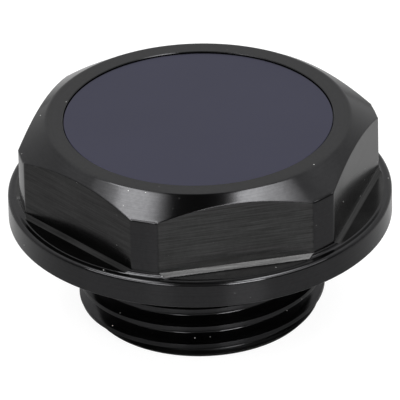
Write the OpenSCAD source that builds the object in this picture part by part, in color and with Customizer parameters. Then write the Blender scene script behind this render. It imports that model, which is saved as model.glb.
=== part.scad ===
// Screw-in oil filler cap: a bevelled hexagon head over a round flange, and a hollow spigot
// with a coarse right-hand thread. All lengths are in millimetres.
// Z points up along the axis, the cap stands on the end face of its spigot, and one of the
// six flats faces -Y.

/* [Head] */
// Distance across two opposite flats, where a wrench grips
hex_af = 48.7; // [45:0.1:51]
// Diameter over the turned corners that the flats leave standing
corner_d = 54; // [52.5:0.1:55.5]
// Height of the head above the flange
head_h = 11.8; // [9:0.1:16]
// Width of the level rim round the recess
rim_w = 2.58; // [1.5:0.01:3]
// Slope of the bevel between the rim and the corners, measured from level
bevel_angle = 33; // [25:1:45]
// Width of the sloping ledge at the foot of each flat
ledge_w = 0.7; // [0.4:0.05:1]
// Height of the sloping ledge at the foot of each flat
ledge_h = 0.5; // [0.3:0.05:0.9]
// Thickness that the flats' cutter leaves on the flange
ledge_step = 0.05; // [0.02:0.01:0.2]
// Radius of the fillet turned round the foot of the head
foot_fillet = 0.6; // [0.3:0.05:1]

/* [Recess and inlay disc] */
// Diameter of the inlay disc
disc_d = 40; // [36:0.1:41]
// Thickness of the inlay disc
disc_t = 0.8; // [0.5:0.1:1.5]
// Bevel on the top edge of the inlay disc
disc_edge = 0.1; // [0.05:0.05:0.3]
// Thickness of the double-sided pad under the disc
pad_t = 0.2; // [0.1:0.05:0.5]
// How much smaller than the disc the pad is, all round
pad_inset = 1.5; // [0.5:0.1:4]
// How far the disc lies below the rim
disc_sunk = 0.2; // [0.1:0.05:0.6]
// Gap between the disc and the wall of its recess
disc_gap = 0.12; // [0.05:0.01:0.3]
// Bevel on the rim's inner edge
rim_edge = 0.1; // [0.05:0.05:0.3]

/* [Flange] */
// Outer diameter of the flange
flange_d = 57.2; // [57:0.1:62]
// Thickness of the flange
flange_h = 3.95; // [3:0.05:6]
// Radius on the upper edge of the flange
flange_round = 0.45; // [0.2:0.05:0.6]
// Bevel on the lower edge of the flange
flange_bevel = 0.2; // [0.1:0.05:0.5]

/* [Neck and sealing ring] */
// Diameter of the relieved neck between the flange and the thread
neck_d = 33; // [32:0.1:33.2]
// Length of the relieved neck, which holds the sealing ring
neck_l = 4.2; // [4:0.1:5]
// Thickness of the rubber that the sealing ring is made of
seal_t = 3.5; // [2.5:0.1:3.6]
// Gap between the sealing ring and the faces that it seats on
seal_gap = 0.04; // [0.02:0.01:0.1]

/* [Thread] */
// Diameter over the thread's crests
thread_d = 36.8; // [36:0.1:40]
// Rise of the thread in one turn
thread_pitch = 3; // [2.6:0.1:3.6]
// Width of the flat crest
crest_land = 0.67; // [0.4:0.01:0.8]
// Width of the flat root between two ridges
root_land = 0.31; // [0.25:0.01:0.5]
// Angle between the two flanks of a ridge
flank_angle = 60; // [55:1:65]
// Height of the first crest's middle over the +X axis
thread_rise = 0.735; // [0:0.005:3]
// Plain length of core left at each end of the thread
thread_margin = 0.2; // [0.2:0.05:1]

/* [Spigot] */
// Length of the spigot from its end face to the flange
spigot_l = 15.65; // [13:0.05:20]
// Bevel on the outer edge of the spigot's end face
end_bevel = 0.2; // [0.1:0.05:0.5]
// Diameter of the bore that hollows the spigot
bore_d = 26; // [18:0.5:27]
// Depth of the bore from the spigot's end face
bore_depth = 18; // [12:0.5:20]
// Radius in the corner at the bottom of the bore
bore_fillet = 1.5; // [0.5:0.1:3]
// Bevel on the mouth of the bore
bore_bevel = 0.6; // [0.3:0.1:1]

/* [Hidden] */
$fn = 128;

// Radii that follow from the diameters above
corner_r = corner_d / 2;
recess_r = disc_d / 2 + disc_gap;
rim_r = recess_r + rim_w;
flange_r = flange_d / 2;
neck_r = neck_d / 2;
crest_r = thread_d / 2;
bore_r = bore_d / 2;

// Heights, from the end face up
flange_z = spigot_l;
head_z = flange_z + flange_h;
top_z = head_z + head_h;
bevel_z = top_z - (corner_r - rim_r) * tan(bevel_angle);
recess_z = top_z - disc_sunk - disc_t - pad_t;
neck_z = flange_z - neck_l;

// Thread form: the flanks' slope and the two lands give its depth
flank_slope = tan(flank_angle / 2);
thread_depth = (thread_pitch - crest_land - root_land) / 2 / flank_slope;
root_r = crest_r - thread_depth;
// The ridge starts this far inside the core, which is less than the depth at which two turns would meet
ridge_r = root_r - root_land / 3;
// Steps in one turn of the ridge
turn_steps = 60;

// How far a cutter runs past the face that it cuts
past = 1;
hex_sides = 6;

// Quarter of a fillet: a square with its far corner rounded out, for an inside corner at the origin
module fillet_section(r) {
    difference() {
        translate([-r, -r]) square([2 * r, 2 * r]);
        translate([r, r]) circle(r);
        translate([r, -2 * r]) square([2 * r, 4 * r]);
        translate([-2 * r, r]) square([4 * r, 2 * r]);
    }
}

// Section of the head as turned, before the flats are milled
module head_section() {
    polygon([
        [0, head_z - past],
        [corner_r, head_z - past],
        [corner_r, bevel_z],
        [rim_r, top_z],
        [0, top_z]
    ]);
    translate([corner_r, head_z]) fillet_section(foot_fillet);
}

// Section of the flange, with its upper edge rounded and its lower edge bevelled
module flange_section() {
    polygon([
        [0, flange_z],
        [flange_r - flange_bevel, flange_z],
        [flange_r, flange_z + flange_bevel],
        [flange_r, head_z - flange_round],
        [flange_r - flange_round, head_z],
        [0, head_z]
    ]);
    translate([flange_r - flange_round, head_z - flange_round]) circle(flange_round);
}

// Section of the neck and of the core that carries the thread
module spigot_section() {
    polygon([
        [0, 0],
        [root_r - end_bevel, 0],
        [root_r, end_bevel],
        [root_r, neck_z - (root_r - neck_r)],
        [neck_r, neck_z],
        [neck_r, flange_z + past],
        [0, flange_z + past]
    ]);
}

// One flat's cutter: a level floor, the sloping ledge and the flat itself, facing +X
module flat_cutter() {
    flat_x = hex_af / 2;
    floor_z = head_z + ledge_step;
    far_x = corner_r + foot_fillet + past;
    width = 2 * far_x;
    rotate([90, 0, 0]) linear_extrude(width, center = true) polygon([
        [flat_x, floor_z + ledge_h],
        [flat_x + ledge_w, floor_z],
        [far_x, floor_z],
        [far_x, top_z + past],
        [flat_x, top_z + past]
    ]);
}

module flats() {
    for (i = [0:hex_sides - 1]) {
        rotate([0, 0, 360 / hex_sides * i - 90]) flat_cutter();
    }
}

// Recess for the inlay disc, with its bevelled mouth
module recess() {
    rotate_extrude() polygon([
        [0, recess_z],
        [recess_r, recess_z],
        [recess_r, top_z - rim_edge],
        [recess_r + rim_edge + past, top_z + past],
        [0, top_z + past]
    ]);
}

// Bore that hollows the spigot, round at the bottom corner and bevelled at its mouth
module bore() {
    rotate_extrude() difference() {
        polygon([
            [0, -past],
            [bore_r + bore_bevel + past, -past],
            [bore_r, bore_bevel],
            [bore_r, bore_depth],
            [0, bore_depth]
        ]);
        translate([bore_r, bore_depth]) rotate(180) fillet_section(bore_fillet);
    }
}

// Half the ridge's width along the axis, at radius r
function half_width(r) = crest_land / 2 + (crest_r - r) * flank_slope;

// The ridge's four corners at one step of the helix
function ridge_corners(step) =
    let (angle = 360 * step / turn_steps)
    let (z = thread_rise + thread_pitch * step / turn_steps)
    [
        for (corner = [[ridge_r, -1], [crest_r, -1], [crest_r, 1], [ridge_r, 1]])
            let (r = corner[0])
            [r * cos(angle), r * sin(angle), z + corner[1] * half_width(r)]
    ];

// Helical ridge from below the end face to above the start of the neck
module ridge() {
    reach = half_width(ridge_r);
    first = floor((-reach - thread_rise) / thread_pitch * turn_steps);
    last = ceil((neck_z + reach - thread_rise) / thread_pitch * turn_steps);
    corners = len(ridge_corners(first));
    count = last - first;
    points = [for (step = [first:last]) each ridge_corners(step)];
    walls = [
        for (i = [0:count - 1], k = [0:corners - 1])
            let (a = corners * i + k)
            let (b = corners * i + (k + 1) % corners)
            each [[a, b, a + corners], [b, b + corners, a + corners]]
    ];
    near_end = [for (k = [corners - 1:-1:0]) k];
    far_end = [for (k = [0:corners - 1]) corners * count + k];
    polyhedron(points, concat([near_end], walls, [far_end]));
}

// The ridge as cut: both ends are trimmed by 45 degree bevels, which leave the core plain beyond them
module thread() {
    inner_r = ridge_r - past;
    outer_r = crest_r + past;
    lead_z = end_bevel + thread_margin;
    relief_z = neck_z - (root_r - neck_r) - thread_margin;
    difference() {
        ridge();
        rotate_extrude() polygon([
            [inner_r, -thread_pitch],
            [outer_r, -thread_pitch],
            [outer_r, lead_z + outer_r - root_r],
            [inner_r, lead_z + inner_r - root_r]
        ]);
        rotate_extrude() polygon([
            [inner_r, relief_z + root_r - inner_r],
            [outer_r, relief_z + root_r - outer_r],
            [outer_r, neck_z + thread_pitch],
            [inner_r, neck_z + thread_pitch]
        ]);
    }
}

module cap_body() {
    color([0.06, 0.06, 0.065])
    difference() {
        union() {
            rotate_extrude() {
                head_section();
                flange_section();
                spigot_section();
            }
            thread();
        }
        flats();
        recess();
        bore();
    }
}

module inlay_disc() {
    disc_r = disc_d / 2;
    disc_z = recess_z + pad_t;
    color([0.27, 0.28, 0.33])
    rotate_extrude() polygon([
        [0, disc_z],
        [disc_r, disc_z],
        [disc_r, disc_z + disc_t - disc_edge],
        [disc_r - disc_edge, disc_z + disc_t],
        [0, disc_z + disc_t]
    ]);
}

module inlay_adhesive() {
    color([0.85, 0.85, 0.8])
    translate([0, 0, recess_z]) cylinder(r = disc_d / 2 - pad_inset, h = pad_t);
}

module sealing_ring() {
    ring_r = neck_r + seal_gap + seal_t / 2;
    ring_z = flange_z - seal_gap - seal_t / 2;
    color([0.03, 0.03, 0.03])
    translate([0, 0, ring_z]) rotate_extrude() translate([ring_r, 0]) circle(seal_t / 2);
}

cap_body();
inlay_disc();
inlay_adhesive();
sealing_ring();
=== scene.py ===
# Screw-in oil filler cap, black anodised aluminium with a slate inlay disc.
# Lengths are in millimetres until a mesh is made, and Z runs up the cap's axis. The floor and the
# lamps are in metres.
import math

import bmesh
import bpy
from mathutils import Matrix, Vector


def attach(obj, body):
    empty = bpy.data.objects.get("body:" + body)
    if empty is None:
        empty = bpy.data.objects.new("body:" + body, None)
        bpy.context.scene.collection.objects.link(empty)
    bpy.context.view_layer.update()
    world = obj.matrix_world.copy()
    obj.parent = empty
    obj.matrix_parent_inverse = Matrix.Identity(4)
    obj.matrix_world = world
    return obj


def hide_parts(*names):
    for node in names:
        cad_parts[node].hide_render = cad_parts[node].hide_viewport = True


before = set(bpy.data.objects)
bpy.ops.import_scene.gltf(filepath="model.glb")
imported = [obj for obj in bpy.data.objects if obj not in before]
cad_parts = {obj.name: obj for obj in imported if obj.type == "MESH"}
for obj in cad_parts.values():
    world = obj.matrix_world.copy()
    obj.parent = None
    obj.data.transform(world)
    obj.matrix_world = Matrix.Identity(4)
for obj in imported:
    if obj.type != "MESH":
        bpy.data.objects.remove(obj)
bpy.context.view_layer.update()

MM = 0.001
PER_MM = 1000.0

# Sizes of the CAD part, with angles in degrees
HALF_FLATS, CORNER_R, RIM_R, BEVEL_ANGLE = 24.35, 27.0, 22.7, 33
LEDGE_STEP, FOOT_R = 0.05, 0.6
DISC_R, DISC_T, PAD_T, DISC_SUNK, RECESS_R, RIM_EDGE = 20.0, 0.8, 0.2, 0.2, 20.12, 0.1
FLANGE_R, FLANGE_Z, HEAD_Z, TOP_Z = 28.6, 15.65, 19.6, 31.4
NECK_R, NECK_Z, SEAL_R, SEAL_GAP = 16.5, 11.45, 1.75, 0.04
CREST_R, PITCH, CREST_LAND, ROOT_LAND, THREAD_RISE = 18.4, 3.0, 0.67, 0.31, 0.735
HALF_FLANK, THREAD_MARGIN = 30, 0.2
END_BEVEL, BORE_R, BORE_DEPTH, BORE_FILLET, BORE_BEVEL = 0.2, 13.0, 18.0, 1.5, 0.6
BEVEL_SLOPE = math.tan(math.radians(BEVEL_ANGLE))
FLANK_SLOPE = math.tan(math.radians(HALF_FLANK))
ROOT_R = CREST_R - (PITCH - CREST_LAND - ROOT_LAND) / 2 / FLANK_SLOPE
RECESS_Z = TOP_Z - DISC_SUNK - DISC_T - PAD_T

# Small forms that the photograph shows a little off the CAD part: the ledge under the flats, the
# flange's edges, the bevel's lower edge at the corners and over the flats, the root of the thread,
# and how far above the end's bevel the thread starts
LEDGE_W, LEDGE_H = 0.6, 0.56
FLANGE_ROUND, FLANGE_BEVEL = 0.6, 0.08
CORNER_ROUND, FLAT_ROUND, ROOT_ROUND = 0.6, 0.12, 0.268
THREAD_LEAD = 0.1

# Edges that the tool leaves broken, so that they catch a little light
RIM_BREAK_IN, RIM_BREAK_OUT, RIM_BREAK_DOWN = 0.07, 0.06, 0.05
FLAT_BREAK, CREST_BREAK, DISC_ROLL, DISC_BREAK = 0.01, 0.02, 0.1, 0.03

# A row this far beside an edge keeps the shading of the face next to it flat
HOLD_RIM, HOLD_BEVEL, HOLD_EDGE, HOLD_WALL = 0.3, 0.25, 0.15, 0.2
HOLD_FLOOR, HOLD_FLANGE, HOLD_UNDER, HOLD_DISC = 0.06, 0.1, 0.5, 0.4

# The body is made of columns round the axis, with angles in degrees. A flat reaches FLAT_REACH to
# each side of its middle, and its edge is blended over EDGE_BREAK. Columns stand NEAR_EDGE from
# there, and evenly once they are EVEN_FROM away. ON_EDGE tells a column on the edge from others.
SIDES, SIDE_ANGLE = 6, 60
FLAT_REACH = math.degrees(math.acos(HALF_FLATS / CORNER_R))
EDGE_BREAK, ON_EDGE = 0.3, 0.01
NEAR_EDGE, EVEN_FROM, EVEN_STEPS = (0.0, 0.6, 1.8), 4.2, 9

# The first turn of the thread is dull between these heights, each with a soft border, and its
# colour is darkened there as painted shade where it stands near the floor
DULL_AND_SHADE_FROM, DULL_AND_SHADE_TO = (0.25, 0.35), (1.1, 1.5)

# The photograph's view: the camera stands to the left of the front flat and looks down on the cap
VIEW_TURN, VIEW_LIFT, VIEW_ROLL = math.radians(-12.03), math.radians(30.03), math.radians(-1.392)
VIEW_AWAY, VIEW_LENS, VIEW_SENSOR, VIEW_SIDE, VIEW_HEIGHT = 1227.6, 741.6, 36.0, -0.02, 17.27

# Sockets of a Mix node, which has one pair for numbers and one for colours
NUMBER_A, NUMBER_B, COLOUR_A, COLOUR_B, COLOUR_OUT = 2, 3, 6, 7, 2


def linear(code):
    """An sRGB hex colour as the linear colour that a shader takes."""
    parts = [int(code[i:i + 2], 16) / 255 for i in (1, 3, 5)]
    return [p / 12.92 if p <= 0.04045 else ((p + 0.055) / 1.055) ** 2.4 for p in parts] + [1.0]


def add(tree, kind, values=None, links=None, **settings):
    """Adds a node with its settings, its socket values and the links into it."""
    made = tree.nodes.new(kind)
    for name, value in settings.items():
        setattr(made, name, value)
    for socket, value in (values or {}).items():
        made.inputs[socket].default_value = value
    for socket, source in (links or {}).items():
        tree.links.new(source, made.inputs[socket])
    return made


def new_material(name):
    """An empty material with its node tree."""
    material = bpy.data.materials.new(name)
    material.use_nodes = True
    material.node_tree.nodes.clear()
    return material, material.node_tree


# ---- Finishes

def dust(tree, place, height):
    """Dust specks about 0.2 mm across on a 1.1 mm grid, faint and strong ones, and more of them
    near the end face."""
    cells = add(tree, "ShaderNodeTexVoronoi", {"Scale": 0.9 * PER_MM}, {"Vector": place},
                feature="F1")
    near = add(tree, "ShaderNodeMath", {1: 0.1}, {0: cells.outputs["Distance"]},
               operation="LESS_THAN")
    pick = add(tree, "ShaderNodeSeparateColor", None, {0: cells.outputs["Color"]})
    share = add(tree, "ShaderNodeMapRange",
                {"From Min": 2 * MM, "From Max": 14 * MM, "To Min": 0.45, "To Max": 0.85},
                {"Value": height})
    few = add(tree, "ShaderNodeMath", None, {0: pick.outputs[0], 1: share.outputs[0]},
              operation="GREATER_THAN")
    both = add(tree, "ShaderNodeMath", None, {0: near.outputs[0], 1: few.outputs[0]},
               operation="MULTIPLY")
    strength = add(tree, "ShaderNodeMath", {1: 1.5}, {0: pick.outputs[1]}, operation="POWER")
    return add(tree, "ShaderNodeMath", None, {0: both.outputs[0], 1: strength.outputs[0]},
               operation="MULTIPLY").outputs[0]


def anodised(name, milled):
    """Black anodised aluminium: a dyed oxide film over cut metal, so dark and glossy. The cutter's
    lines show as thin streaks, and they spread a reflection across themselves."""
    material, tree = new_material(name)
    place = add(tree, "ShaderNodeTexCoord").outputs["Object"]
    axes = add(tree, "ShaderNodeSeparateXYZ", None, {0: place})
    height = axes.outputs[2]
    uneven = {"Scale": 1.0, "Detail": 3.0, "Roughness": 0.6}
    if milled:
        # End-milled flats: feed lines parallel to the ledge, 0.02 mm apart, drawn 0.2 mm apart to
        # show. They are about 8 mm long.
        stretch = add(tree, "ShaderNodeMapping",
                      {"Scale": (0.12 * PER_MM, 0.12 * PER_MM, 5 * PER_MM)}, {0: place})
        lines = add(tree, "ShaderNodeTexNoise", uneven, {"Vector": stretch.outputs[0]})
    else:
        # Turned faces: circular feed marks 0.05 mm apart, drawn 0.2 mm apart to show
        flat = add(tree, "ShaderNodeCombineXYZ", None, {0: axes.outputs[0], 1: axes.outputs[1]})
        out = add(tree, "ShaderNodeVectorMath", None, {0: flat.outputs[0]}, operation="LENGTH")
        along = add(tree, "ShaderNodeMath", None, {0: out.outputs["Value"], 1: height},
                    operation="SUBTRACT")
        fine = add(tree, "ShaderNodeMath", {1: 5 * PER_MM}, {0: along.outputs[0]},
                   operation="MULTIPLY")
        lines = add(tree, "ShaderNodeTexNoise", uneven, {"W": fine.outputs[0]},
                    noise_dimensions="1D")
    # The film is a little rougher in clouds about 7 mm wide
    clouds = add(tree, "ShaderNodeTexNoise", {"Scale": 0.14 * PER_MM, "Detail": 4.0},
                 {"Vector": place})
    specks = dust(tree, place, height)
    low_rough, high_rough = (0.14, 0.18) if milled else (0.11, 0.15)
    rough = add(tree, "ShaderNodeMapRange",
                {"From Min": 0.3, "From Max": 0.7, "To Min": low_rough, "To Max": high_rough},
                {"Value": clouds.outputs[0]})
    # The first turn is rougher, and its colour is darkened towards near black as painted shade
    # where it stands near the floor
    above = add(tree, "ShaderNodeMapRange",
                {"From Min": DULL_AND_SHADE_FROM[0] * MM, "From Max": DULL_AND_SHADE_FROM[1] * MM}, {"Value": height})
    below = add(tree, "ShaderNodeMapRange",
                {"From Min": DULL_AND_SHADE_TO[1] * MM, "From Max": DULL_AND_SHADE_TO[0] * MM}, {"Value": height})
    dull_with_painted_shade = add(tree, "ShaderNodeMath", None, {0: above.outputs[0], 1: below.outputs[0]},
               operation="MULTIPLY")
    dull_rough = add(tree, "ShaderNodeMix", {NUMBER_B: 0.5},
                     {0: dull_with_painted_shade.outputs[0], NUMBER_A: rough.outputs[0]}, data_type="FLOAT")
    dusty_rough = add(tree, "ShaderNodeMix", {NUMBER_B: 0.8},
                      {0: specks, NUMBER_A: dull_rough.outputs[0]}, data_type="FLOAT")
    streaks = add(tree, "ShaderNodeMapRange", {"From Min": 0.35, "From Max": 0.65},
                  {"Value": lines.outputs[0]})
    dark, light = ("#2c2c2c", "#404040") if milled else ("#343435", "#3a3a3b")
    film = add(tree, "ShaderNodeMix", {COLOUR_A: linear(dark), COLOUR_B: linear(light)},
               {0: streaks.outputs[0]}, data_type="RGBA")
    # The dye took unevenly, in spots about half a millimetre wide
    spots = add(tree, "ShaderNodeTexNoise", {"Scale": 2 * PER_MM, "Detail": 2.0},
                {"Vector": place})
    dye = add(tree, "ShaderNodeMapRange",
              {"From Min": 0.3, "From Max": 0.7, "To Min": 0.92, "To Max": 1.08},
              {"Value": spots.outputs[0]})
    dyed = add(tree, "ShaderNodeVectorMath", None,
               {0: film.outputs[COLOUR_OUT], "Scale": dye.outputs[0]}, operation="SCALE")
    # Painted shade: the first turn's colour goes towards near black (#0c0c0c) near the floor
    dyed_with_painted_shade = add(tree, "ShaderNodeMix", {COLOUR_B: linear("#0c0c0c")},
                    {0: dull_with_painted_shade.outputs[0], COLOUR_A: dyed.outputs[0]}, data_type="RGBA")
    dusty = add(tree, "ShaderNodeMix", {COLOUR_B: linear("#c0c0be")},
                {0: specks, COLOUR_A: dyed_with_painted_shade.outputs[COLOUR_OUT]}, data_type="RGBA")
    clean = add(tree, "ShaderNodeMath", {0: 1.0}, {1: specks}, operation="SUBTRACT")
    relief = add(tree, "ShaderNodeBump", {"Strength": 0.25, "Distance": 0.01 * MM},
                 {"Height": lines.outputs[0]})
    # A radial tangent runs along the lines, and the quarter turn spreads a reflection across them
    along_lines = add(tree, "ShaderNodeTangent", direction_type="RADIAL", axis="Z")
    shader = add(tree, "ShaderNodeBsdfPrincipled",
                 {"Anisotropic": 0.6, "Anisotropic Rotation": 0.25},
                 {"Base Color": dusty.outputs[COLOUR_OUT], "Roughness": dusty_rough.outputs[0],
                  "Metallic": clean.outputs[0], "Normal": relief.outputs[0],
                  "Tangent": along_lines.outputs[0]})
    add(tree, "ShaderNodeOutputMaterial", None, {0: shader.outputs[0]})
    return material


def slate_inlay():
    """Bead-blasted aluminium sheet, dyed slate: its fine even grain spreads reflections to a satin
    sheen. The grain of the beads is about 0.17 mm wide, and the dye's clouds 11 mm."""
    material, tree = new_material("satin slate anodised aluminium")
    place = add(tree, "ShaderNodeTexCoord").outputs["Object"]
    grain = add(tree, "ShaderNodeTexNoise", {"Scale": 6 * PER_MM, "Detail": 2.0},
                {"Vector": place})
    cloud = add(tree, "ShaderNodeTexNoise", {"Scale": 0.09 * PER_MM, "Detail": 3.0},
                {"Vector": place})
    shade = add(tree, "ShaderNodeMix", {COLOUR_A: linear("#3e3e4f"), COLOUR_B: linear("#424254")},
                {0: cloud.outputs[0]}, data_type="RGBA")
    relief = add(tree, "ShaderNodeBump", {"Strength": 0.2, "Distance": 0.01 * MM},
                 {"Height": grain.outputs[0]})
    shader = add(tree, "ShaderNodeBsdfPrincipled", {"Roughness": 0.3, "Metallic": 1.0},
                 {"Base Color": shade.outputs[COLOUR_OUT], "Normal": relief.outputs[0]})
    add(tree, "ShaderNodeOutputMaterial", None, {0: shader.outputs[0]})
    return material


def nitrile_rubber():
    """Moulded nitrile rubber: matt black, with a faint bloom in patches about 2 mm wide."""
    material, tree = new_material("moulded nitrile rubber")
    place = add(tree, "ShaderNodeTexCoord").outputs["Object"]
    bloom = add(tree, "ShaderNodeTexNoise", {"Scale": 0.5 * PER_MM, "Detail": 4.0},
                {"Vector": place})
    shade = add(tree, "ShaderNodeMix", {COLOUR_A: linear("#141414"), COLOUR_B: linear("#242423")},
                {0: bloom.outputs[0]}, data_type="RGBA")
    relief = add(tree, "ShaderNodeBump", {"Strength": 0.15, "Distance": 0.03 * MM},
                 {"Height": bloom.outputs[0]})
    shader = add(tree, "ShaderNodeBsdfPrincipled", {"Roughness": 0.55},
                 {"Base Color": shade.outputs[COLOUR_OUT], "Normal": relief.outputs[0]})
    add(tree, "ShaderNodeOutputMaterial", None, {0: shader.outputs[0]})
    return material


def foam_tape():
    """Double-sided acrylic foam tape: closed cells 0.2 mm wide, matt and off-white."""
    material, tree = new_material("acrylic foam tape")
    place = add(tree, "ShaderNodeTexCoord").outputs["Object"]
    cells = add(tree, "ShaderNodeTexVoronoi", {"Scale": 5 * PER_MM}, {"Vector": place},
                feature="F1")
    shade = add(tree, "ShaderNodeMix", {COLOUR_A: linear("#d8d8d2"), COLOUR_B: linear("#c4c4bc")},
                {0: cells.outputs["Distance"]}, data_type="RGBA")
    relief = add(tree, "ShaderNodeBump", {"Strength": 0.4, "Distance": 0.05 * MM},
                 {"Height": cells.outputs["Distance"]})
    shader = add(tree, "ShaderNodeBsdfPrincipled", {"Roughness": 0.8},
                 {"Base Color": shade.outputs[COLOUR_OUT], "Normal": relief.outputs[0]})
    add(tree, "ShaderNodeOutputMaterial", None, {0: shader.outputs[0]})
    return material


# ---- Meshes

def arc(centre_r, centre_z, radius, start, end, steps):
    """Points of a round edge, as radius and height, at angles in degrees."""
    turns = [math.radians(start + (end - start) * i / steps) for i in range(steps + 1)]
    return [(centre_r + radius * math.cos(t), centre_z + radius * math.sin(t)) for t in turns]


def cut_as(kind, points):
    """The points as rows of a profile, each with the way its face was cut."""
    return [(r, z, kind) for r, z in points]


def columns():
    """Angles of the body's columns, in degrees from +X, and each one's angle from its flat's
    middle. They lie closer together towards the edges of the flats."""
    inner, outer = FLAT_REACH - EDGE_BREAK, FLAT_REACH + EDGE_BREAK
    half = [inner - near for near in NEAR_EDGE]
    half += [(inner - EVEN_FROM) * (1 - i / EVEN_STEPS) for i in range(EVEN_STEPS)]
    offsets = [-FLAT_REACH] + [-step for step in half] + [0.0] + half[::-1] + [FLAT_REACH]
    offsets += [outer + near for near in NEAR_EDGE] + [SIDE_ANGLE / 2]
    offsets += [SIDE_ANGLE - outer - near for near in reversed(NEAR_EDGE)]
    made = [(SIDE_ANGLE * side - 90 + offset, offset) for side in range(SIDES)
            for offset in offsets]
    return made + [(made[0][0] + 360, made[0][1])]


def foot_rows(plan_r, offset):
    """The foot of the head at one column, in two lists: the milled ledge with its level floor, and
    the turned fillet."""
    bend = math.cos(math.radians(offset))
    floor_z = HEAD_Z + LEDGE_STEP

    def turned(r):
        return HEAD_Z + FOOT_R - math.sqrt(max(0.0, FOOT_R ** 2 - (CORNER_R + FOOT_R - r) ** 2))

    def milled(r):
        return max(floor_z, floor_z + LEDGE_H * (1 - (r * bend - HALF_FLATS) / LEDGE_W))

    if abs(offset) > FLAT_REACH:
        start = CORNER_R
        rows = [(CORNER_R, turned(CORNER_R))] * 4
    else:
        # The cutter's floor runs out where it meets the fillet, which is found by halving
        low, high = CORNER_R, CORNER_R + FOOT_R
        for _ in range(40):
            middle = (low + high) / 2
            low, high = (middle, high) if turned(middle) > milled(middle) else (low, middle)
        start = high
        ledge = min((HALF_FLATS + LEDGE_W) / bend, start)
        rows = [(r, milled(r)) for r in (plan_r, ledge, max(ledge, start - HOLD_FLOOR), start)]
    fillet = [start + (CORNER_R + FOOT_R - start) * (1 - math.cos(math.radians(15 * i)))
              for i in range(1, 7)]
    return rows, [(r, turned(r)) for r in fillet]


def head_rows(offset):
    """Profile of the recess, rim, bevel, wall, foot, flange and neck at one column, from the
    middle out."""
    reach = abs(offset)
    if reach < FLAT_REACH - ON_EDGE:
        plan_r = HALF_FLATS / math.cos(math.radians(offset))
    elif reach < FLAT_REACH + ON_EDGE:
        plan_r = CORNER_R - FLAT_BREAK
    else:
        plan_r = CORNER_R

    def bevel(r):
        return TOP_Z - (r - RIM_R) * BEVEL_SLOPE

    # The bevel's lower edge is rounded, and more so at the turned corners, which were filed
    edge_round = CORNER_ROUND if reach > FLAT_REACH + ON_EDGE else FLAT_ROUND
    edge_turn = 90 - BEVEL_ANGLE
    edge_z = bevel(plan_r) - edge_round * math.tan(math.radians(edge_turn / 2))
    near = plan_r - edge_round * math.tan(math.radians(edge_turn / 2)) - HOLD_EDGE
    top = [(0, RECESS_Z), (RECESS_R * 0.5, RECESS_Z), (RECESS_R, RECESS_Z),
           (RECESS_R, TOP_Z - RIM_EDGE), (RECESS_R + RIM_EDGE, TOP_Z),
           (RECESS_R + HOLD_RIM, TOP_Z), (RIM_R - HOLD_RIM, TOP_Z), (RIM_R - RIM_BREAK_IN, TOP_Z),
           (RIM_R + RIM_BREAK_OUT, TOP_Z - RIM_BREAK_DOWN),
           (RIM_R + HOLD_BEVEL, TOP_Z - HOLD_BEVEL * BEVEL_SLOPE), (near, bevel(near))]
    top += arc(plan_r - edge_round, edge_z, edge_round, edge_turn, 0, 4)
    ledge, fillet = foot_rows(plan_r, offset)
    wall = [(plan_r, edge_z - HOLD_WALL), (plan_r, ledge[0][1] + HOLD_EDGE)] + ledge
    round_r, round_z = FLANGE_R - FLANGE_ROUND, HEAD_Z - FLANGE_ROUND
    flange = [(CORNER_R + FOOT_R + HOLD_FLANGE, HEAD_Z), (round_r - HOLD_FLANGE, HEAD_Z)]
    flange += arc(round_r, round_z, FLANGE_ROUND, 90, 0, 10)
    flange += [(FLANGE_R, round_z - HOLD_FLANGE),
               (FLANGE_R, FLANGE_Z + FLANGE_BEVEL + HOLD_FLANGE),
               (FLANGE_R, FLANGE_Z + FLANGE_BEVEL), (FLANGE_R - FLANGE_BEVEL, FLANGE_Z),
               (FLANGE_R - HOLD_UNDER, FLANGE_Z), (NECK_R + HOLD_RIM, FLANGE_Z),
               (NECK_R, FLANGE_Z), (NECK_R, NECK_Z)]
    return cut_as("turned", top) + cut_as("wall", wall) + cut_as("turned", fillet + flange)


def ridge_section():
    """One pitch of the thread's section from root to root, as offset along the axis and radius,
    with its edges broken."""
    crest, root = CREST_LAND / 2, PITCH / 2 - ROOT_LAND / 2
    down = math.radians(90 - HALF_FLANK)
    turns = [down * step / 3 for step in range(4)]
    crest_reach, root_reach = CREST_BREAK * math.tan(down / 2), ROOT_ROUND * math.tan(down / 2)
    half = [(0.0, CREST_R)]
    half += [(crest - crest_reach + CREST_BREAK * math.sin(turn),
              CREST_R - CREST_BREAK * (1 - math.cos(turn))) for turn in turns]
    half.append(((crest + root) / 2, (CREST_R + ROOT_R) / 2))
    half += [(root + root_reach - ROOT_ROUND * math.sin(down - turn),
              ROOT_R + ROOT_ROUND * (1 - math.cos(down - turn))) for turn in turns]
    half.append((PITCH / 2, ROOT_R))
    return [(-along, r) for along, r in reversed(half)] + half[1:-1]


def thread_rows(angle):
    """The right-hand thread at one column, from its run-out at the neck down to its lead-in at the
    end face."""
    low, high = END_BEVEL + THREAD_LEAD, NECK_Z - (ROOT_R - NECK_R) - THREAD_MARGIN
    points = []
    # Turns beyond both ends are pressed flat on them, so that each column has as many rows
    for turn in range(5, -3, -1):
        middle = THREAD_RISE + PITCH * (angle / 360 + turn)
        for offset, r in reversed(ridge_section()):
            z = min(max(middle + offset, low), high)
            points.append((min(r, ROOT_R + z - low, ROOT_R + high - z), z))
    return cut_as("turned", points)


def bore_rows():
    """Profile of the end face and of the bore, up to the middle of its bottom."""
    points = [(ROOT_R, END_BEVEL), (ROOT_R - END_BEVEL, 0), (BORE_R + BORE_BEVEL, 0),
              (BORE_R, BORE_BEVEL)]
    points += arc(BORE_R - BORE_FILLET, BORE_DEPTH - BORE_FILLET, BORE_FILLET, 0, 90, 6)
    return cut_as("turned", points + [(BORE_R / 2, BORE_DEPTH), (0, BORE_DEPTH)])


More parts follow.
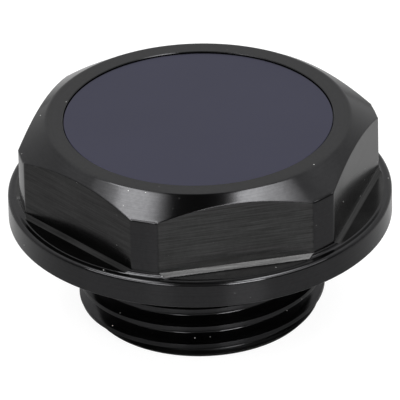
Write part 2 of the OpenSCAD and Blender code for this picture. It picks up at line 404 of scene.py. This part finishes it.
def lathe(name, profiles, angles, finish_of, materials):
    """A closed piece from one profile per column; finish_of says which material a face takes."""
    mesh = bpy.data.meshes.new(name)
    shape = bmesh.new()
    grid = []
    for profile, angle in zip(profiles, angles):
        turn = math.radians(angle)
        grid.append([shape.verts.new((r * math.cos(turn) * MM, r * math.sin(turn) * MM, z * MM))
                     for r, z, *_ in profile])
    for column in range(len(grid) - 1):
        here, there = grid[column], grid[column + 1]
        for row in range(len(here) - 1):
            face = shape.faces.new((here[row], here[row + 1], there[row + 1], there[row]))
            face.material_index = finish_of(column, row)
            face.smooth = True
    bmesh.ops.remove_doubles(shape, verts=shape.verts, dist=0.0005 * MM)
    bmesh.ops.recalc_face_normals(shape, faces=shape.faces)
    shape.to_mesh(mesh)
    shape.free()
    mesh.set_sharp_from_angle(angle=math.radians(38))
    piece = bpy.data.objects.new(name, mesh)
    bpy.context.scene.collection.objects.link(piece)
    for material in materials:
        mesh.materials.append(material)
    # Normals weighed by corner angle, because weighing by area makes creases between the columns
    weigh = piece.modifiers.new("even shading", "WEIGHTED_NORMAL")
    weigh.keep_sharp = True
    weigh.mode = "CORNER_ANGLE"
    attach(piece, "root")
    return piece


def round_piece(name, points, material):
    """A piece that is round all the way, from one profile."""
    angles = [3 * i for i in range(121)]
    return lathe(name, [points] * len(angles), angles, lambda column, row: 0, [material])


turned_black = anodised("black anodised aluminium turned", False)
milled_black = anodised("black anodised aluminium milled", True)

placed = columns()
body_profiles = [head_rows(offset) + thread_rows(angle) + bore_rows() for angle, offset in placed]


def body_finish(column, row):
    """The milled finish on the flats and their ledges, and the turned one on everything else."""
    kind = body_profiles[column][row + 1][2]
    inside = max(abs(placed[column][1]), abs(placed[column + 1][1])) <= FLAT_REACH
    return 1 if kind == "wall" and inside else 0


body = lathe("filler_cap_body", body_profiles, [angle for angle, _ in placed], body_finish,
             [turned_black, milled_black])
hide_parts("cap_body")

# The inlay disc: its blanked upper edge is rolled over a little
disc_low = RECESS_Z + PAD_T
disc_top = disc_low + DISC_T
disc_points = [(0, disc_low), (DISC_R * 0.9, disc_low), (DISC_R - DISC_BREAK, disc_low),
               (DISC_R, disc_low + DISC_BREAK)]
disc_points += arc(DISC_R - DISC_ROLL, disc_top - DISC_ROLL, DISC_ROLL, 0, 90, 4)
disc_points += [(DISC_R - HOLD_DISC, disc_top), (DISC_R * 0.5, disc_top), (0, disc_top)]
disc = round_piece("inlay_plate", disc_points, slate_inlay())
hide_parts("inlay_disc")

# The sealing ring: round rubber, unsqueezed, under the flange
seal_points = arc(NECK_R + SEAL_GAP + SEAL_R, FLANGE_Z - SEAL_GAP - SEAL_R, SEAL_R, 0, 360, 36)
ring = round_piece("rubber_sealing_ring", seal_points, nitrile_rubber())
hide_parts("sealing_ring")

# The pad under the disc stays the CAD part's own, with its material
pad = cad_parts["inlay_adhesive"]
pad.data.materials.clear()
pad.data.materials.append(foam_tape())

# ---- Stage, light and camera

right = Vector((math.cos(VIEW_TURN), math.sin(VIEW_TURN), 0))
front = Vector((math.sin(VIEW_TURN), -math.cos(VIEW_TURN), 0))
back = Vector((math.sin(VIEW_TURN) * math.cos(VIEW_LIFT),
               -math.cos(VIEW_TURN) * math.cos(VIEW_LIFT), math.sin(VIEW_LIFT)))
upright = Vector((0, 0, 1))


def white_floor():
    """Coated white board with a faint sheen. The camera sees it as bright as paper in a
    photograph, with the cap's soft shadow. A reflection shows it greyer and with its sheen,
    because the facets in the photograph mirror a dimmer board."""
    material, tree = new_material("matt white board")
    path = add(tree, "ShaderNodeLightPath")
    seen = path.outputs["Is Camera Ray"]
    mirrored = add(tree, "ShaderNodeMath", None,
                   {0: path.outputs["Is Glossy Ray"], 1: path.outputs["Is Transmission Ray"]},
                   operation="MAXIMUM")
    direct = add(tree, "ShaderNodeMath", None, {0: seen, 1: mirrored.outputs[0]},
                 operation="MAXIMUM")
    level = add(tree, "ShaderNodeMapRange", {"To Min": 0.03, "To Max": 0.87}, {"Value": seen})
    shade = add(tree, "ShaderNodeMix", {COLOUR_A: linear("#989898"), COLOUR_B: linear("#808080")},
                {0: seen}, data_type="RGBA")
    paper = add(tree, "ShaderNodeBsdfDiffuse", {"Color": linear("#e6e6e6")})
    shadow = add(tree, "ShaderNodeBsdfDiffuse", None, {"Color": shade.outputs[COLOUR_OUT]})
    glow = add(tree, "ShaderNodeEmission", None, {"Strength": level.outputs[0]})
    sheen = add(tree, "ShaderNodeMix", {COLOUR_A: linear("#3d3d3d"), COLOUR_B: linear("#000000")},
                {0: seen}, data_type="RGBA")
    gloss = add(tree, "ShaderNodeBsdfAnisotropic", {"Roughness": 0.25},
                {"Color": sheen.outputs[COLOUR_OUT]})
    coated = add(tree, "ShaderNodeAddShader", None, {0: shadow.outputs[0], 1: gloss.outputs[0]})
    board = add(tree, "ShaderNodeAddShader", None, {0: coated.outputs[0], 1: glow.outputs[0]})
    mixed = add(tree, "ShaderNodeMixShader", None,
                {0: direct.outputs[0], 1: paper.outputs[0], 2: board.outputs[0]})
    add(tree, "ShaderNodeOutputMaterial", None, {0: mixed.outputs[0]})
    return material


def make_floor():
    """The board that the cap stands on, 8 m wide so that it has no edge in any view."""
    shape = bmesh.new()
    bmesh.ops.create_grid(shape, x_segments=1, y_segments=1, size=4.0)
    mesh = bpy.data.meshes.new("floor")
    shape.to_mesh(mesh)
    shape.free()
    mesh.materials.append(white_floor())
    floor = bpy.data.objects.new("floor", mesh)
    bpy.context.scene.collection.objects.link(floor)
    # A hair lower than the cap's end face, so that the two don't share a plane
    floor.location.z = -0.01 * MM


def make_world():
    """A pale wall behind the cap, dimmer at the sides and overhead, and a dark room in front. The
    camera sees white."""
    world = bpy.data.worlds.new("pale wall in a dim room")
    bpy.context.scene.world = world
    world.use_nodes = True
    tree = world.node_tree
    tree.nodes.clear()
    look = add(tree, "ShaderNodeTexCoord").outputs["Generated"]
    axes = add(tree, "ShaderNodeSeparateXYZ", None, {0: look})
    # Shades from the horizon, at 0, to straight overhead, at 1
    shades = add(tree, "ShaderNodeValToRGB", None, {0: axes.outputs[2]})
    stops = [(0.0, 0.44), (0.3, 0.54), (0.5, 0.58), (0.6, 0.62), (0.76, 0.9), (0.9, 0.6),
             (1.0, 0.1)]
    elements = shades.color_ramp.elements
    for at, _ in stops[1:-1]:
        elements.new(at)
    for element, (_, level) in zip(elements, stops):
        element.color = (level, level, level, 1)
    behind = add(tree, "ShaderNodeVectorMath", {1: -front}, {0: look}, operation="DOT_PRODUCT")
    wall = add(tree, "ShaderNodeMapRange",
               {"From Min": -0.2, "From Max": 0.4, "To Min": 0.33, "To Max": 1.31},
               {"Value": behind.outputs["Value"]})
    seen = add(tree, "ShaderNodeLightPath").outputs["Is Camera Ray"]
    strength = add(tree, "ShaderNodeMath", None, {0: wall.outputs[0], 1: seen},
                   operation="MAXIMUM")
    white = add(tree, "ShaderNodeMix", {COLOUR_B: linear("#ffffff")},
                {0: seen, COLOUR_A: shades.outputs[0]}, data_type="RGBA")
    glow = add(tree, "ShaderNodeBackground", None,
               {0: white.outputs[COLOUR_OUT], 1: strength.outputs[0]})
    add(tree, "ShaderNodeOutputWorld", None, {0: glow.outputs[0]})


def lamp(name, place, turn, width, length, level):
    """An area lamp; level is how bright its face is, where white paper is 1."""
    light = bpy.data.lights.new(name, "AREA")
    light.shape = "RECTANGLE"
    light.size, light.size_y, light.energy = width, length, level * math.pi * width * length
    holder = bpy.data.objects.new(name, light)
    holder.matrix_world = Matrix.Translation(place) @ turn
    holder.visible_camera = False
    bpy.context.scene.collection.objects.link(holder)


def overhead(name, sideways, forward, width, level):
    """A level strip 1 m over the cap, 0.68 m long, along the camera's view."""
    place = right * sideways + front * forward + upright
    lamp(name, place, Matrix.Rotation(VIEW_TURN, 4, "Z"), width, 0.68, level)


def facing(name, turn, lift, width, length, level):
    """A screen 1.5 m away and aimed at the cap's foot, at an angle in degrees to the camera's right
    and up, as seen from the cap."""
    turn, lift = math.radians(turn), math.radians(lift)
    level_way = front * math.cos(turn) + right * math.sin(turn)
    place = (level_way * math.cos(lift) + upright * math.sin(lift)) * 1.5
    away = place.normalized()
    sideways = upright.cross(away).normalized()
    aimed = Matrix((sideways, away.cross(sideways), away)).transposed().to_4x4()
    lamp(name, place, aimed, width, length, level)


def make_camera():
    """The photograph's camera, far away and with a long lens."""
    lens = bpy.data.cameras.new("camera")
    lens.lens, lens.sensor_width = VIEW_LENS, VIEW_SENSOR
    lens.clip_start, lens.clip_end = 0.05, 50.0
    camera = bpy.data.objects.new("camera", lens)
    up = back.cross(right)
    tilted_right = right * math.cos(VIEW_ROLL) + up * math.sin(VIEW_ROLL)
    tilted_up = up * math.cos(VIEW_ROLL) - right * math.sin(VIEW_ROLL)
    turn = Matrix((tilted_right, tilted_up, back)).transposed().to_4x4()
    aim = right * VIEW_SIDE + upright * VIEW_HEIGHT
    camera.matrix_world = Matrix.Translation((aim + back * VIEW_AWAY) * MM) @ turn
    bpy.context.scene.collection.objects.link(camera)
    bpy.context.scene.camera = camera


make_floor()
make_world()
# Two overhead softboxes, as strips that grow dimmer towards their edges: place, width and level
for at, width, level in ((0.18, 0.03, 0.8), (0.21, 0.03, 3.0), (0.3025, 0.155, 8.6),
                         (0.42, 0.08, 6.2), (0.49, 0.06, 4.9), (0.55, 0.06, 2.9),
                         (0.61, 0.06, 1.2), (0.69, 0.10, 0.4)):
    overhead(f"right strip {at}", at, 0.14, width, level)
for at, width, level in ((0.195, 0.03, 1.0), (0.225, 0.03, 2.2), (0.255, 0.03, 3.9),
                         (0.285, 0.03, 5.9), (0.40, 0.20, 7.8), (0.54, 0.08, 2.6),
                         (0.64, 0.12, 1.2)):
    overhead(f"left strip {at}", -at, 0.03, width, level)
facing("left screen", -48, 40, 1.2, 0.42, 4.8)
facing("right screen", 48, 40, 1.6, 0.36, 3.3)
facing("left window", -24, 24, 0.35, 0.3, 5.7)
facing("right window", 26, 27, 0.5, 0.42, 12.0)
make_camera()

bpy.context.scene.view_settings.view_transform = "Standard"
